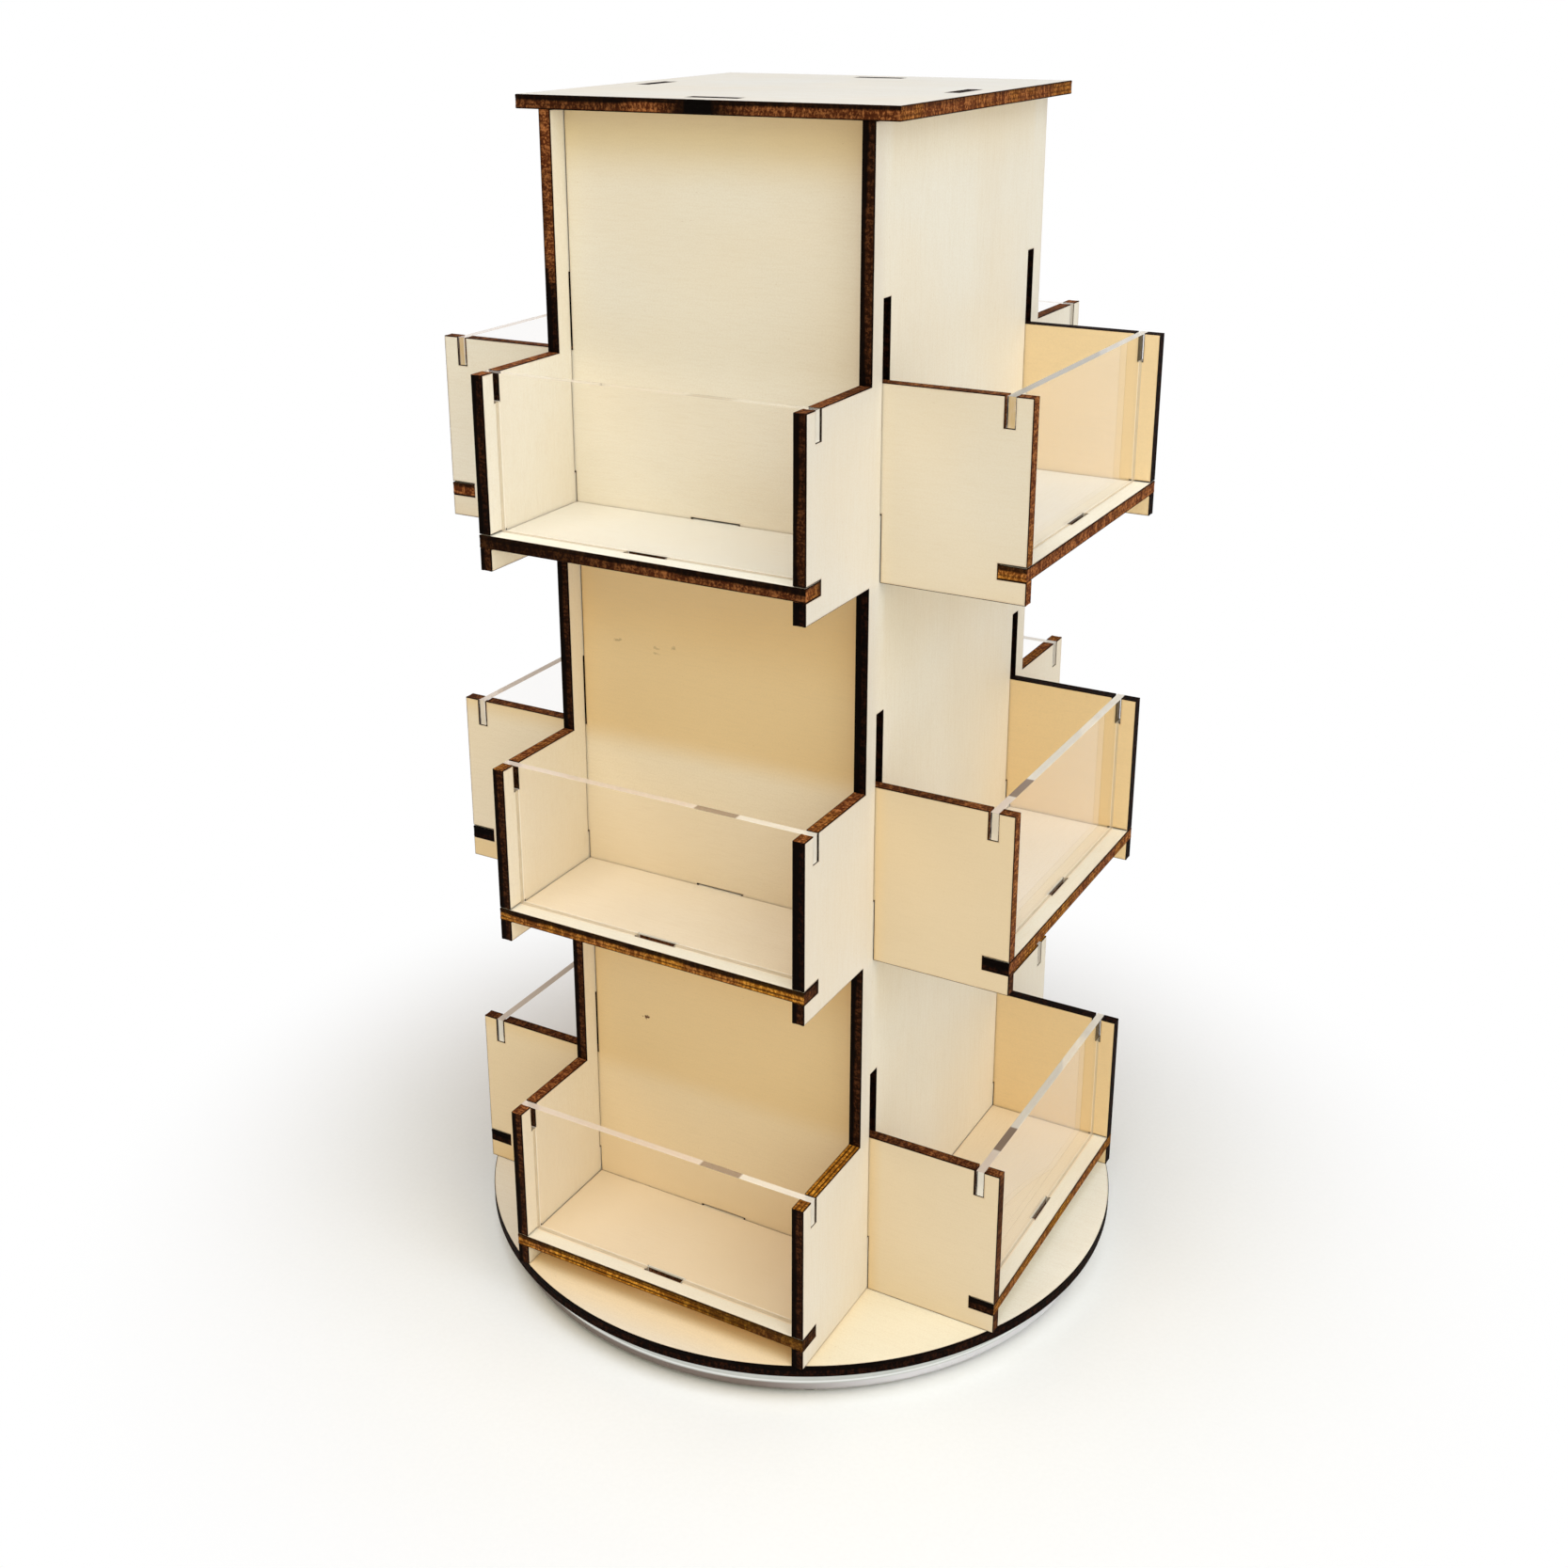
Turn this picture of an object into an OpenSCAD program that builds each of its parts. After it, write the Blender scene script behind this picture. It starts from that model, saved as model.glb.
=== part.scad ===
// Rotating wooden display rack.
// A square column of laser-cut plywood with pockets on its four sides stands on a round board,
// and the board turns on a flat aluminium ball bearing with rubber feet.
// The origin is the middle of the footprint on the table, +Z is up and the front faces -Y.

/* [Sheet] */
// Thickness of the plywood sheet
ply_t = 3; // [2.5:0.1:4]
// Extra width of each slot that takes a plywood board
slot_play = 0.2; // [0.1:0.05:0.4]

/* [Column] */
// Width of the square column over its outer faces
column_w = 80; // [70:1:110]
// Height of the column between the disc and the top plate
column_h = 275; // [265:1:330]
// Reach of the left and right walls past the front and back walls
wall_lip = 5; // [3:0.5:8]
// Width of the tabs that hold the walls in the disc and in the top plate
wall_tab_w = 12; // [8:1:30]
// Reach of the top plate past the edges of the left and right walls
top_overhang = 0.5; // [0:0.5:8]

/* [Pockets] */
// Height from one tier of pockets to the next
tier_h = 90; // [85:1:100]
// Height of the cheeks beside a pocket
pocket_h = 43; // [36:1:48]
// Reach of the cheeks from the column
pocket_d = 33; // [28:1:45]
// Height of the lap where a front or back wall hooks over a side wall
lap_h = 15; // [8:1:20]
// Extra height of the side walls' slots, so that the hooks can pass through
hook_headroom = 2; // [1:0.5:5]

/* [Shelves] */
// Height of a shelf's underside above the bottom of the cheeks
shelf_rise = 5; // [4.5:0.5:10]
// Depth of the nose at a shelf's front, which is as wide as the column
nose_d = 6.3; // [5:0.1:12]
// Width of the tab at the back of a shelf
shelf_tab_w = 12; // [8:1:30]

/* [Clear fronts] */
// Thickness of the acrylic sheet
pane_t = 2; // [1.5:0.1:3]
// Extra width of each slot that takes the acrylic
pane_play = 0.25; // [0.2:0.05:0.8]
// Distance from the front edge of the cheeks to the middle of the acrylic's slots
pane_inset = 5; // [4:0.25:8]
// Height of the side tabs that hang in the cheeks
pane_hook_h = 6.5; // [4:0.5:15]
// Width of the tab at the bottom
pane_tab_w = 10; // [6:1:30]

/* [Turntable] */
// Diameter of the round board
disc_d = 164; // [160:1:200]
// Outer diameter of the bearing
bearing_d = 157.5; // [150:0.5:180]
// Width of the outer ring between its rim and its bore
outer_ring_w = 8.7; // [8:0.1:11]
// Width of the inner ring between its rim and its bore
inner_ring_w = 14.2; // [13.6:0.1:18]
// Height of the outer ring
outer_ring_h = 6.4; // [5.6:0.1:9]
// Height of the inner ring
inner_ring_h = 6; // [5.5:0.1:9]
// Gap between the outer ring and the disc above it
disc_gap = 0.6; // [0.4:0.1:1.5]
// Gap between the two rings
ring_gap = 1.6; // [1.2:0.1:2]
// Radius of the outer ring's rounded upper edge
ring_round = 2.6; // [1:0.1:3]
// Radius of the outer ring's rounded lower edge
ring_foot_round = 1.4; // [0.5:0.1:2]
// Chamfer on the other corners of the rings
ring_chamfer = 0.3; // [0.1:0.05:0.5]
// Diameter of a ball
ball_d = 4; // [3:0.1:4.2]
// Clearance between a ball and what it runs in, all round
ball_play = 0.05; // [0.03:0.01:0.1]
// Number of balls
ball_count = 30; // [12:1:40]
// Thickness of the band that keeps the balls apart
cage_t = 0.8; // [0.6:0.05:1]
// Height of the band
cage_h = 5.2; // [4.6:0.05:5.3]

/* [Feet and screws] */
// Diameter of a rubber foot
foot_d = 6; // [4:0.5:6.5]
// Height that a foot stands proud of the outer ring
foot_proud = 1; // [0.6:0.1:3]
// Depth of the pocket that a foot is pressed into
foot_sink = 1.5; // [0.8:0.1:3]
// Number of feet
foot_count = 6; // [3:1:12]
// Diameter of the screws' shanks
screw_d = 3; // [2.5:0.5:4]
// Length of the screws over all
screw_len = 12; // [11.5:0.5:13]
// Diameter of the screws' countersunk heads
screw_head_d = 6; // [5:0.5:8]
// Extra diameter of the screws' holes
screw_play = 0.4; // [0.2:0.1:1]
// Distance from the inner ring's rim to the middle of a screw
screw_inset = 7.2; // [6.8:0.1:8]
// Width of the nuts across their flats
nut_w = 5.5; // [5:0.5:7]
// Height of the nuts
nut_h = 2.4; // [2:0.1:3.2]

/* [Hidden] */
TIERS = ["low", "mid", "top"];
SIDES = ["front", "right", "back", "left"];
$fn = 96;

// Overlap of a cutting shape past the face that it cuts
cut_over = 1;
// Quarter turn from one side of the column to the next
side_turn = 90;
// Facets of a hexagon nut
nut_sides = 6;
// Screws, one under the bottom shelf of each side
screw_count = 4;
// Steps of a rounded edge in a ring's section
round_steps = 8;

// Heights above the table
outer_ring_z = foot_proud;
disc_z = outer_ring_z + outer_ring_h + disc_gap;
inner_ring_z = disc_z - inner_ring_h;
column_z = disc_z + ply_t;
top_plate_z = column_z + column_h;
ball_z = (inner_ring_z + outer_ring_z + outer_ring_h) / 2;

// Widths across the column, measured from its axis
wall_out = column_w / 2;
wall_in = wall_out - ply_t;
wall_mid = wall_out - ply_t / 2;
slot_w = ply_t + slot_play;
cross_half = wall_in - slot_play / 2;
lip_half = wall_out + wall_lip;
reach = wall_out + pocket_d;
pane_mid = reach - pane_inset;
pane_slot_w = pane_t + pane_play;
pane_out = pane_mid + pane_slot_w / 2;
shelf_back = wall_out;
shelf_half = cross_half;
top_half = lip_half + top_overhang;

// Radii of the bearing, from its rim inwards
bearing_r = bearing_d / 2;
foot_circle_r = bearing_r - outer_ring_w / 2;
outer_ring_bore_r = bearing_r - outer_ring_w;
ball_circle_r = outer_ring_bore_r - ring_gap / 2;
inner_ring_r = outer_ring_bore_r - ring_gap;
screw_circle_r = inner_ring_r - screw_inset;
bearing_bore_r = inner_ring_r - inner_ring_w;
groove_r = ball_d / 2 + ball_play;

function tier_z(i) = column_z + i * tier_h;

function arc(centre, r, from, to) = [
    for (i = [0:round_steps])
        let (a = from + (to - from) * i / round_steps)
        centre + r * [cos(a), sin(a)]
];

module ply_colour() {
    color([0.90, 0.82, 0.66]) children();
}

// Turns a shape drawn for the front side to another side
module on_side(side) {
    rotate([0, 0, side * side_turn]) children();
}

// Stands a drawing up as a board across the column, its outer face to -Y
module stand_across() {
    translate([0, -wall_in, 0])
        rotate([90, 0, 0])
            linear_extrude(ply_t) children();
}

// Stands a drawing up as a board along the column, its outer face to +X
module stand_along() {
    translate([wall_in, 0, 0])
        rotate([90, 0, 90])
            linear_extrude(ply_t) children();
}

// Wall drawings: across the board is X, height above the table is Y

module strip_2d(half_w) {
    translate([-half_w, column_z])
        square([2 * half_w, column_h]);
}

module wall_tabs_2d() {
    translate([-wall_tab_w / 2, disc_z])
        square([wall_tab_w, column_h + 2 * ply_t]);
}

module ears_2d() {
    for (i = [0:len(TIERS) - 1])
        translate([-reach, tier_z(i)])
            square([2 * reach, pocket_h]);
}

// Slots in the cheeks for the acrylic and for the nose of the shelf, and in the wall for its tab
module pocket_cuts_2d() {
    for (i = [0:len(TIERS) - 1]) {
        translate([0, tier_z(i)]) {
            for (s = [-1, 1]) {
                translate([s * pane_mid - pane_slot_w / 2, pocket_h - pane_hook_h])
                    square([pane_slot_w, pane_hook_h + cut_over]);
                translate([s * (reach - nose_d / 2 + cut_over / 2), shelf_rise + slot_w / 2])
                    square([nose_d + cut_over, slot_w], center = true);
            }
            translate([-(shelf_tab_w + slot_play) / 2, shelf_rise])
                square([shelf_tab_w + slot_play, slot_w]);
        }
    }
}

// Front and back walls: open hooks that drop over the side walls
module cross_wall_2d() {
    difference() {
        union() {
            strip_2d(cross_half);
            wall_tabs_2d();
            ears_2d();
        }
        pocket_cuts_2d();
        for (i = [0:len(TIERS) - 1], s = [-1, 1])
            translate([s * wall_mid - slot_w / 2, tier_z(i) - cut_over])
                square([slot_w, lap_h + cut_over]);
    }
}

// Left and right walls: closed slots that the front and back walls pass through
module through_wall_2d() {
    difference() {
        union() {
            strip_2d(lip_half);
            wall_tabs_2d();
            ears_2d();
        }
        pocket_cuts_2d();
        for (i = [0:len(TIERS) - 1], s = [-1, 1])
            translate([s * wall_mid - slot_w / 2, tier_z(i) + lap_h])
                square([slot_w, pocket_h + hook_headroom]);
    }
}

module front_wall() {
    ply_colour() stand_across() cross_wall_2d();
}

module back_wall() {
    ply_colour() mirror([0, 1, 0]) stand_across() cross_wall_2d();
}

module right_wall() {
    ply_colour() stand_along() through_wall_2d();
}

module left_wall() {
    ply_colour() mirror([1, 0, 0]) stand_along() through_wall_2d();
}

// Slots for the walls' tabs, one near the middle of each side
module wall_tab_slots_2d() {
    for (side = [0:len(SIDES) - 1])
        on_side(side)
            translate([0, -wall_mid])
                square([wall_tab_w + slot_play, slot_w], center = true);
}

module top_plate() {
    ply_colour()
        translate([0, 0, top_plate_z])
            linear_extrude(ply_t)
                difference() {
                    square(2 * top_half, center = true);
                    wall_tab_slots_2d();
                }
}

module turntable_disc() {
    ply_colour()
        translate([0, 0, disc_z])
            linear_extrude(ply_t)
                difference() {
                    circle(d = disc_d);
                    wall_tab_slots_2d();
                    screw_places_2d() circle(d = screw_d + screw_play);
                }
}

// Shelf of a front pocket, drawn from above
module shelf_2d() {
    difference() {
        union() {
            translate([-shelf_half, -reach])
                square([2 * shelf_half, reach - shelf_back]);
            translate([-wall_out, -reach])
                square([2 * wall_out, nose_d]);
            translate([-shelf_tab_w / 2, -shelf_back])
                square([shelf_tab_w, ply_t]);
        }
        translate([0, -pane_mid])
            square([pane_tab_w + pane_play, pane_slot_w], center = true);
    }
}

module shelf(tier, side) {
    ply_colour()
        on_side(side)
            translate([0, 0, tier_z(tier) + shelf_rise])
                linear_extrude(ply_t) shelf_2d();
}

// Acrylic of a pocket, drawn from the front with its height measured from the cheeks' bottom
module pane_2d() {
    shelf_top = shelf_rise + ply_t;
    translate([-cross_half, shelf_top])
        square([2 * cross_half, pocket_h - shelf_top]);
    translate([-wall_out, pocket_h - pane_hook_h])
        square([2 * wall_out, pane_hook_h]);
    translate([-pane_tab_w / 2, shelf_rise])
        square([pane_tab_w, ply_t]);
}

// The acrylic leans on the outer side of its slots
module pane(tier, side) {
    color([0.86, 0.93, 0.95, 0.35])
        on_side(side)
            translate([0, pane_t - pane_out, tier_z(tier)])
                rotate([90, 0, 0])
                    linear_extrude(pane_t) pane_2d();
}

// Outer ring's section: rounded outside, chamfered inside
module outer_ring_2d() {
    top = outer_ring_z + outer_ring_h;
    c = ring_chamfer;
    polygon(concat(
        [[outer_ring_bore_r, outer_ring_z + c], [outer_ring_bore_r + c, outer_ring_z]],
        arc([bearing_r - ring_foot_round, outer_ring_z + ring_foot_round], ring_foot_round, -90, 0),
        arc([bearing_r - ring_round, top - ring_round], ring_round, 0, 90),
        [[outer_ring_bore_r + c, top], [outer_ring_bore_r, top - c]]
    ));
}

module inner_ring_2d() {
    c = ring_chamfer;
    polygon([
        [bearing_bore_r, inner_ring_z + c],
        [bearing_bore_r + c, inner_ring_z],
        [inner_ring_r - c, inner_ring_z],
        [inner_ring_r, inner_ring_z + c],
        [inner_ring_r, disc_z - c],
        [inner_ring_r - c, disc_z],
        [bearing_bore_r + c, disc_z],
        [bearing_bore_r, disc_z - c]
    ]);
}

// Groove that the balls run in, half of it in each ring
module ball_groove() {
    rotate_extrude()
        translate([ball_circle_r, ball_z])
            circle(r = groove_r);
}

module foot_places() {
    for (i = [0:foot_count - 1])
        rotate([0, 0, 360 * i / foot_count])
            translate([foot_circle_r, 0, 0]) children();
}

module screw_places_2d() {
    for (i = [0:screw_count - 1])
        rotate(360 * i / screw_count)
            translate([screw_circle_r, 0]) children();
}

module screw_places() {
    for (i = [0:screw_count - 1])
        rotate([0, 0, 360 * i / screw_count])
            translate([screw_circle_r, 0, 0]) children();
}

// Countersunk screw, or its hole when play is more than nothing, head down on the inner ring
module screw_shape(play, length) {
    head_r = (screw_head_d + play) / 2;
    shank_r = (screw_d + play) / 2;
    translate([0, 0, inner_ring_z]) {
        cylinder(r = shank_r, h = length);
        cylinder(r1 = head_r, r2 = shank_r, h = head_r - shank_r);
    }
}

module bearing_outer_ring() {
    color([0.80, 0.81, 0.82])
        difference() {
            rotate_extrude() outer_ring_2d();
            ball_groove();
            foot_places()
                translate([0, 0, outer_ring_z - cut_over])
                    cylinder(d = foot_d, h = foot_sink + cut_over);
        }
}

module bearing_inner_ring() {
    color([0.76, 0.77, 0.78])
        difference() {
            rotate_extrude() inner_ring_2d();
            ball_groove();
            screw_places() screw_shape(screw_play, inner_ring_h + cut_over);
        }
}

module ball_places() {
    for (i = [0:ball_count - 1])
        rotate([0, 0, 360 * i / ball_count])
            translate([ball_circle_r, 0, ball_z]) children();
}

module bearing_balls() {
    color([0.68, 0.69, 0.71]) ball_places() sphere(d = ball_d);
}

module ball_cage() {
    color([0.92, 0.92, 0.88])
        difference() {
            translate([0, 0, ball_z - cage_h / 2])
                difference() {
                    cylinder(r = ball_circle_r + cage_t / 2, h = cage_h);
                    translate([0, 0, -cut_over])
                        cylinder(r = ball_circle_r - cage_t / 2, h = cage_h + 2 * cut_over);
                }
            ball_places()
                rotate([0, 90, 0])
                    cylinder(r = groove_r, h = 2 * cage_t, center = true);
        }
}

module rubber_feet() {
    color([0.12, 0.12, 0.12])
        foot_places() cylinder(d = foot_d, h = foot_proud + foot_sink);
}

module ring_screws() {
    color([0.70, 0.70, 0.72]) screw_places() screw_shape(0, screw_len);
}

module screw_nuts() {
    color([0.72, 0.72, 0.74])
        screw_places()
            translate([0, 0, column_z])
                difference() {
                    cylinder(d = nut_w / cos(180 / nut_sides), h = nut_h, $fn = nut_sides);
                    translate([0, 0, -cut_over])
                        cylinder(d = screw_d + ball_play, h = nut_h + 2 * cut_over);
                }
}

front_wall();
back_wall();
left_wall();
right_wall();
top_plate();
turntable_disc();
for (tier = [0:len(TIERS) - 1], side = [0:len(SIDES) - 1])
    shelf(tier, side);
for (tier = [0:len(TIERS) - 1], side = [0:len(SIDES) - 1])
    pane(tier, side);
bearing_outer_ring();
bearing_inner_ring();
bearing_balls();
ball_cage();
rubber_feet();
ring_screws();
screw_nuts();
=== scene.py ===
"""Looks of the rotating wooden display rack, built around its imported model.

Lengths are in metres, +Z is up and the rack's front faces -Y.
"""
import math
import random

import bpy
from mathutils import Matrix, Vector, geometry


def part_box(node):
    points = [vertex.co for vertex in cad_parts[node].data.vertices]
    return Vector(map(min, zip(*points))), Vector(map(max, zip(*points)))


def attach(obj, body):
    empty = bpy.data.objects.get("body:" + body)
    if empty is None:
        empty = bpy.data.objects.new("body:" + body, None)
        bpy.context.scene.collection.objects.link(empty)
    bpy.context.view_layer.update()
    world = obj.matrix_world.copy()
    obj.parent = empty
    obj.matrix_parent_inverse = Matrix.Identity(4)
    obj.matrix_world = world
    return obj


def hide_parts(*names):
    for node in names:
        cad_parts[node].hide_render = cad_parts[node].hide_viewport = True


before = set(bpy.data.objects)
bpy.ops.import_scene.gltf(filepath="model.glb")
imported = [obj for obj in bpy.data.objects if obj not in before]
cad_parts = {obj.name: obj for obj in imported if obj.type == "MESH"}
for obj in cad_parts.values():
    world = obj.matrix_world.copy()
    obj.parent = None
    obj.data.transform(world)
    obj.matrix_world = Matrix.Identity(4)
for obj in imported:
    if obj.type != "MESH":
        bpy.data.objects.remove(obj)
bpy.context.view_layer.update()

MM = 0.001
X, Y, Z = range(3)
TIERS = ("low", "mid", "top")
OUTWARD = {"front": Vector((0, -1, 0)), "right": Vector((1, 0, 0)), "back": Vector((0, 1, 0)),
           "left": Vector((-1, 0, 0))}
SIDES = ("front", "right", "back", "left")
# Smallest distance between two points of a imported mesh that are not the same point
SNAP = 1e-6


# Colours

def srgb(red, green, blue):
    """Linear colour with alpha, from red, green and blue between 0 and 255 as in a picture."""
    def linear(value):
        value /= 255
        return value / 12.92 if value <= 0.04045 else ((value + 0.055) / 1.055) ** 2.4
    return (linear(red), linear(green), linear(blue), 1.0)


VENEER = srgb(237, 231, 218)
# Greyer veneer of the top plate: painted sheen, for the white that its face mirrors when seen at a
# grazing angle
VENEER_PLATE_SHEEN = srgb(222, 220, 214)
# Warm colour of clouds in the wood, and of painted warm shade
VENEER_WARM = srgb(238, 208, 158)
VENEER_STREAK = srgb(206, 184, 148)
VENEER_SCORCH = srgb(166, 112, 58)
# Painted shade: a darker veneer for the shelves of the top tier
VENEER_SHADED = srgb(229, 226, 215)
# Painted light on a shelf's strip outside its clear front
VENEER_STRIP_LIGHT = srgb(248, 246, 234)
# Painted light: a lighter veneer for the lower shelves, the walls behind the front panes and the low
# right ear
VENEER_LIT = srgb(247, 240, 226)
# What the warm shade under a shelf or the top plate leaves of a wall's colour
UNDER_SHADE = srgb(246, 232, 202)
# The two shades that speckle a cut edge, from black over brown to golden; the brown and the
# golden also stand for painted light on edges that face the lamps
CHAR = srgb(5, 2, 1), srgb(44, 20, 10)
BROWN = srgb(88, 42, 18), srgb(184, 116, 66)
GOLD = srgb(140, 84, 20), srgb(224, 156, 56)
CHAR_BLACK = CHAR[0]
ACRYLIC_TINT = srgb(253, 252, 251)
# Painted light on the clear sheet's cut edges, for the light that the sheet carries there, and
# painted shade on the dim part of its top edge, whose colour also marks fine lines
ACRYLIC_EDGE_LIGHT = srgb(253, 247, 236)
ACRYLIC_DIM = srgb(240, 222, 208)
# Painted shade on a side edge, painted amber of the wood seen through a front end, and painted shade
# of the tab in its slot and of the gap beside an edge, as seen through the sheet
ACRYLIC_SIDE_SHADE = srgb(200, 186, 162)
ACRYLIC_END_SEEN_WOOD = srgb(226, 194, 142)
ACRYLIC_TAB_SHADE = srgb(150, 128, 112)
ACRYLIC_GAP_SHADE = srgb(40, 28, 22)
ACRYLIC_SHEEN = srgb(132, 112, 88)
METAL_HAZE = srgb(168, 168, 166)
METAL_RIDGE = srgb(226, 228, 230)
# Painted glint and painted reflections of the outer ring: a dark band round its lower part that
# turns light towards the right
RING_GLINT = srgb(238, 240, 241)
RING_DARK_REFLECTION = srgb(130, 118, 112)
RING_LIGHT_REFLECTION = srgb(224, 222, 226)


# Node trees

# Between these values lies most of a noise
NOISE_CORE = 0.3, 0.7


class Paint:
    """A material or world under construction, with short calls for the nodes that it needs."""

    def __init__(self, name, world=False):
        self.made = (bpy.data.worlds if world else bpy.data.materials).new(name)
        self.made.use_nodes = True
        self.tree = self.made.node_tree
        self.tree.nodes.clear()

    def feed(self, socket, value):
        if isinstance(value, bpy.types.NodeSocket):
            self.tree.links.new(value, socket)
        else:
            socket.default_value = value

    def node(self, kind, inputs=(), **settings):
        made = self.tree.nodes.new("ShaderNode" + kind)
        for name, value in settings.items():
            setattr(made, name, value)
        for name, value in dict(inputs).items():
            self.feed(made.inputs[name], value)
        return made

    def attribute(self, name, output="Fac"):
        return self.node("Attribute", attribute_name=name).outputs[output]

    def maths(self, operation, first, second=0.0, third=0.0):
        return self.node("Math", {0: first, 1: second, 2: third}, operation=operation).outputs[0]

    def mix(self, factor, first, second, blend="MIX"):
        made = self.node("Mix", data_type="RGBA", blend_type=blend)
        self.feed(made.inputs[0], factor)
        self.feed(made.inputs[6], first)
        self.feed(made.inputs[7], second)
        return made.outputs[2]

    def band(self, value, low, high, to_low=0.0, to_high=1.0):
        """value taken smoothly from low to high onto to_low to to_high."""
        made = self.node("MapRange", interpolation_type="SMOOTHSTEP")
        for name, number in zip(("Value", "From Min", "From Max", "To Min", "To Max"),
                                (value, low, high, to_low, to_high)):
            self.feed(made.inputs[name], number)
        return made.outputs["Result"]

    def scaled(self, vector, scale):
        return self.node("VectorMath", {0: vector, 1: scale}, operation="MULTIPLY").outputs[0]

    def noise(self, vector, scale, detail=3.0, roughness=0.5):
        """Noise between 0 and 1.

        scale is how many times it varies in a metre, one number or one for each axis."""
        placed = self.scaled(vector, scale if isinstance(scale, tuple) else (scale,) * 3)
        settings = {"Vector": placed, "Scale": 1.0, "Detail": detail, "Roughness": roughness}
        return self.node("TexNoise", settings).outputs["Fac"]

    def spread(self, noise, low, high):
        """A noise taken onto low to high."""
        return self.band(noise, *NOISE_CORE, low, high)

    def bump(self, height, distance, strength=1.0):
        settings = {"Height": height, "Distance": distance, "Strength": strength}
        return self.node("Bump", settings).outputs["Normal"]

    def shader(self, **inputs):
        """A Principled shader, with underscores for the spaces in its sockets' names."""
        settings = {name.replace("_", " "): value for name, value in inputs.items()}
        return self.node("BsdfPrincipled", settings)

    def seen(self):
        """1 for what the camera sees, also mirrored or through glass, and 0 for light."""
        path = self.node("LightPath").outputs
        behind = self.maths("MAXIMUM", path["Is Glossy Ray"], path["Is Transmission Ray"])
        return self.maths("MAXIMUM", path["Is Camera Ray"], behind)

    def finish(self, surface, output="OutputMaterial"):
        self.feed(self.node(output).inputs["Surface"], surface.outputs[0])
        return self.made


# What varies over a veneer: how often in a metre along the grain, across it and through the sheet,
# the noise's detail and roughness, where it begins and where it is full, its share and its colour
VENEER_NOISES = {
    "streaks": ((160, 1900, 400), 4, 0.6, 0.4, 0.75, 0.10, VENEER_STREAK),
    "mottle": (2600, 2, 0.5, 0.35, 0.7, 0.13, VENEER_STREAK),
    "figure": ((9, 34, 30), 2, 0.5, 0.4, 0.7, 0.10, VENEER_STREAK),
    "clouds": (26, 2, 0.5, 0.35, 0.7, 0.12, VENEER_WARM),
    "pores": ((900, 2600, 900), 1, 0.5, 0.74, 0.82, 0.2, VENEER_SCORCH),
}
# How much a distance along the grain counts in a fleck, which lengthens it that way, and the
# shares of its radius at which its rim begins and ends
FLECK_SQUASH = 0.45
FLECK_RIM = 0.6, 1.4
# How far the painted light on a shelf's strip outside its clear front takes to fade in, and its
# share
STRIP_FADE = 0.4 * MM
STRIP_MOST = 0.75


# A veneer's patches are painted light and shade
def veneer(name, pale, flecks=(), light_and_shade=()):
    """Face of a plywood board.

    flecks are dark marks: along the grain, across it, radius, depth. patches tint a part of it:
    windows that it lies in, colour, share. A window is 0 along the grain or 1 across it, with
    where the tint begins and where it is full."""
    p = Paint(name)
    sheet = p.attribute("sheet", "Vector")
    # Each face turns warm: partly the wood's own colour, partly painted warm shade that grows
    # towards the foot of a wall
    foot = p.band(p.attribute("height"), FOOT_SHADE_LOW, FOOT_SHADE_HIGH, 1.0, 0.0)
    tone_and_shade = p.maths("MULTIPLY_ADD", foot, p.attribute("foot_shade"), p.attribute("tone_and_shade"))
    colour = p.mix(tone_and_shade, pale, VENEER_WARM)
    for windows, tint, share in light_and_shade:
        for way, start, full in windows:
            place = p.node("SeparateXYZ", {0: sheet}).outputs[way]
            share = p.maths("MULTIPLY", p.band(place, start, full), share)
        colour = p.mix(share, colour, tint)
    # Painted light on the strip of a shelf outside its clear front
    strip_light = p.band(p.attribute("outward"), STRIP_FROM, STRIP_FROM + STRIP_FADE, 0.0, STRIP_MOST)
    colour = p.mix(strip_light, colour, VENEER_STRIP_LIGHT)
    colour = p.mix(under_shelf(p), colour, UNDER_SHADE, "MULTIPLY")
    noises = {}
    for kind, (often, detail, roughness, start, full, most, tint) in VENEER_NOISES.items():
        noises[kind] = p.noise(sheet, often, detail, roughness)
        colour = p.mix(p.band(noises[kind], start, full, 0.0, most), colour, tint)
    smoke = p.spread(p.noise(sheet, 180, detail=2), 0.1, 0.35)
    colour = p.mix(p.maths("MULTIPLY", p.attribute("burn"), smoke), colour, VENEER_SCORCH)
    ragged = p.spread(p.noise(sheet, 1500, detail=1), 0.5, 1.5)
    squashed = p.scaled(sheet, (FLECK_SQUASH, 1, 0))
    for along, across, radius, depth in flecks:
        away = p.node("VectorMath", {0: squashed, 1: (along * FLECK_SQUASH, across, 0)},
                      operation="DISTANCE").outputs["Value"]
        away = p.maths("MULTIPLY", away, ragged)
        rim = (radius * share for share in FLECK_RIM)
        colour = p.mix(p.band(away, *rim, depth, 0.0), colour, BROWN[0])
    relief = p.maths("ADD", noises["streaks"], p.maths("MULTIPLY", noises["pores"], -0.5))
    return p.finish(p.shader(Base_Color=colour, Roughness=p.spread(noises["streaks"], 0.5, 0.66),
                             Normal=p.bump(relief, 0.03 * MM, 0.5), Specular_IOR_Level=0.3))


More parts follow.
